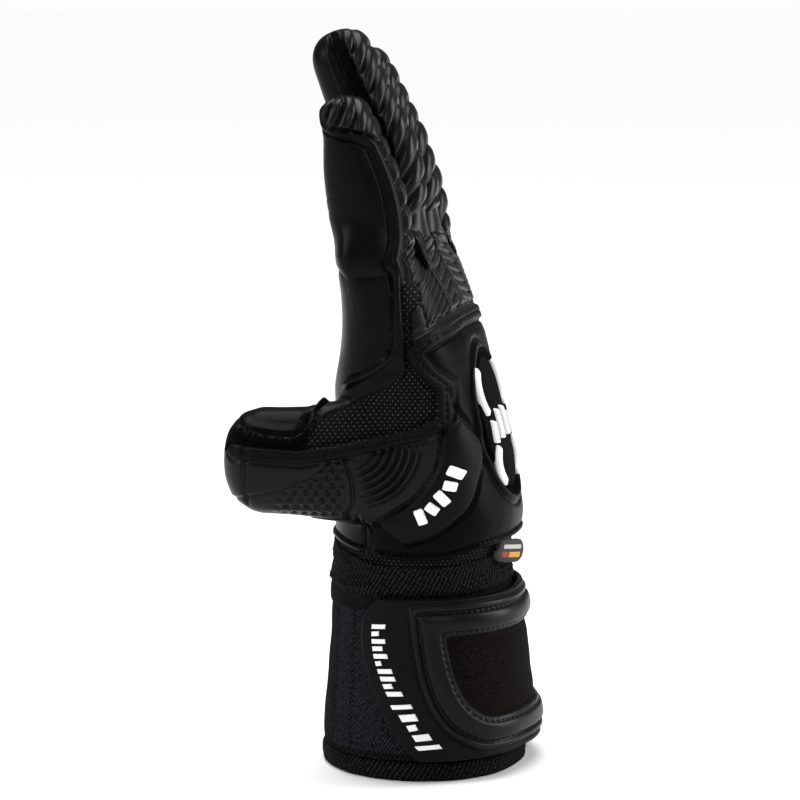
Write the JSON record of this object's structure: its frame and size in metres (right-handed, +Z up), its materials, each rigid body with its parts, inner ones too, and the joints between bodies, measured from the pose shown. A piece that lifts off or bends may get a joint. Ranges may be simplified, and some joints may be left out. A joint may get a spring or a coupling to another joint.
{
  "type": "goalkeeper glove",
  "caption": "Padded right-hand ball-sports glove standing on its cuff, with bending fingers and thumb, a wrist bandage and a hook-and-loop strap.",
  "frame": {"origin": "on the surface it stands on, under the middle of the glove's box", "axes": "+Z up along the fingers, +X out of the back of the hand, -X out of the palm, -Y to the thumb side, +Y to the little finger"},
  "size_m": [0.1112, 0.1126, 0.284],
  "materials": {
    "latex": "soft satin foam latex, black",
    "rubber": "moulded satin rubber, black",
    "knit": "elastic knit, black",
    "mesh": "perforated air mesh, black with light dots",
    "lining": "brushed lining, dark grey",
    "hook_loop": "hook-and-loop patch, near-black blue",
    "white_print": "raised white print",
    "label": "woven label, black with coloured blocks"
  },
  "bodies": {
    "hand": {"backhand_panel": "latex", "badge_bar_lower": "white_print", "badge_bar_middle": "white_print", "badge_bar_upper": "white_print", "badge_plate": "rubber", "crescent_mark_1": "white_print", "crescent_mark_2": "white_print", "crescent_mark_3": "white_print", "crescent_pad": "latex", "cuff_hem": "knit", "cuff_lining": "lining", "cuff_sleeve": "knit", "hand_lining": "lining", "index_root_sleeve": "latex", "index_side_mesh": "mesh", "knuckle_panel": "rubber", "label_tab": "label", "little_root_sleeve": "latex", "little_side_mesh": "mesh", "loop_patch": "hook_loop", "middle_root_sleeve": "latex", "palm_latex": "latex", "ring_root_sleeve": "latex", "strap_sewn_end": "rubber", "thumb_base_sleeve": "latex", "thumb_root_panel": "rubber", "thumb_web_gusset": "mesh", "wrist_bandage": "knit"},
    "strap_middle": {"strap_band": "rubber", "strap_window_back": "knit"},
    "strap_free_end": {"strap_hook_patch": "hook_loop", "strap_tab": "rubber", "strap_window_tab": "knit", "tab_mark_block": "white_print", "tab_mark_stripe": "white_print"},
    "thumb_lower": {"thumb_back_panel_base": "rubber", "thumb_middle_sleeve": "latex", "thumb_pad_latex_base": "latex"},
    "thumb_upper": {"thumb_back_panel_tip": "rubber", "thumb_pad_latex_tip": "latex"},
    "index_lower": {"index_back_pad_base": "rubber", "index_middle_sleeve": "latex", "index_palm_latex_base": "latex"},
    "index_upper": {"index_back_pad_tip": "rubber", "index_palm_latex_tip": "latex"},
    "middle_lower": {"middle_back_pad_base": "rubber", "middle_middle_sleeve": "latex", "middle_palm_latex_base": "latex"},
    "middle_upper": {"middle_back_pad_tip": "rubber", "middle_palm_latex_tip": "latex"},
    "ring_lower": {"ring_back_pad_base": "rubber", "ring_middle_sleeve": "latex", "ring_palm_latex_base": "latex"},
    "ring_upper": {"ring_back_pad_tip": "rubber", "ring_palm_latex_tip": "latex"},
    "little_lower": {"little_back_pad_base": "rubber", "little_middle_sleeve": "latex", "little_palm_latex_base": "latex"},
    "little_upper": {"little_back_pad_tip": "rubber", "little_palm_latex_tip": "latex"}
  },
  "joints": [
    {"name": "strap_swing", "type": "hinge", "parent": "hand", "child": "strap_middle", "pos_m": [0.03327, 0.04776, 0.0395], "axis": [-0.048, -0.0516, 0.9975], "range_deg": [0, 75]},
    {"name": "strap_peel", "type": "hinge", "parent": "strap_middle", "child": "strap_free_end", "pos_m": [0.04862, -0.01744, 0.0395], "axis": [-0.073, 0.0306, 0.9969], "range_deg": [0, 85]},
    {"name": "thumb_base_bend", "type": "hinge", "parent": "hand", "child": "thumb_lower", "pos_m": [-0.02155, -0.03838, 0.139], "axis": [0, 1, 0], "range_deg": [-8, 30], "stiffness_Nm_per_rad": 0.12, "deforming": ["thumb_base_sleeve"]},
    {"name": "thumb_tip_bend", "type": "hinge", "parent": "thumb_lower", "child": "thumb_upper", "pos_m": [-0.03705, -0.04028, 0.139], "axis": [0, 1, 0], "range_deg": [0, 35], "stiffness_Nm_per_rad": 0.08, "deforming": ["thumb_middle_sleeve"]},
    {"name": "index_root_bend", "type": "hinge", "parent": "hand", "child": "index_lower", "pos_m": [-0.00945, -0.02888, 0.2025], "axis": [0, -1, 0], "range_deg": [-5, 55], "stiffness_Nm_per_rad": 0.12, "deforming": ["index_root_sleeve"]},
    {"name": "index_middle_bend", "type": "hinge", "parent": "index_lower", "child": "index_upper", "pos_m": [-0.00874, -0.02888, 0.22016], "axis": [0, -1, 0], "range_deg": [0, 45], "stiffness_Nm_per_rad": 0.08, "deforming": ["index_middle_sleeve"]},
    {"name": "middle_root_bend", "type": "hinge", "parent": "hand", "child": "middle_lower", "pos_m": [-0.00945, -0.00508, 0.2025], "axis": [0, -1, 0], "range_deg": [-5, 55], "stiffness_Nm_per_rad": 0.12, "deforming": ["middle_root_sleeve"]},
    {"name": "middle_middle_bend", "type": "hinge", "parent": "middle_lower", "child": "middle_upper", "pos_m": [-0.00888, -0.00508, 0.23244], "axis": [0, -1, 0], "range_deg": [0, 45], "stiffness_Nm_per_rad": 0.08, "deforming": ["middle_middle_sleeve"]},
    {"name": "ring_root_bend", "type": "hinge", "parent": "hand", "child": "ring_lower", "pos_m": [-0.00945, 0.01872, 0.2025], "axis": [0, -1, 0], "range_deg": [-5, 55], "stiffness_Nm_per_rad": 0.12, "deforming": ["ring_root_sleeve"]},
    {"name": "ring_middle_bend", "type": "hinge", "parent": "ring_lower", "child": "ring_upper", "pos_m": [-0.00888, 0.01872, 0.23094], "axis": [0, -1, 0], "range_deg": [0, 45], "stiffness_Nm_per_rad": 0.08, "deforming": ["ring_middle_sleeve"]},
    {"name": "little_root_bend", "type": "hinge", "parent": "hand", "child": "little_lower", "pos_m": [-0.00945, 0.04252, 0.2025], "axis": [0, -1, 0], "range_deg": [-5, 55], "stiffness_Nm_per_rad": 0.12, "deforming": ["little_root_sleeve"]},
    {"name": "little_middle_bend", "type": "hinge", "parent": "little_lower", "child": "little_upper", "pos_m": [-0.00877, 0.04252, 0.21911], "axis": [0, -1, 0], "range_deg": [0, 45], "stiffness_Nm_per_rad": 0.08, "deforming": ["little_middle_sleeve"]}
  ]
}
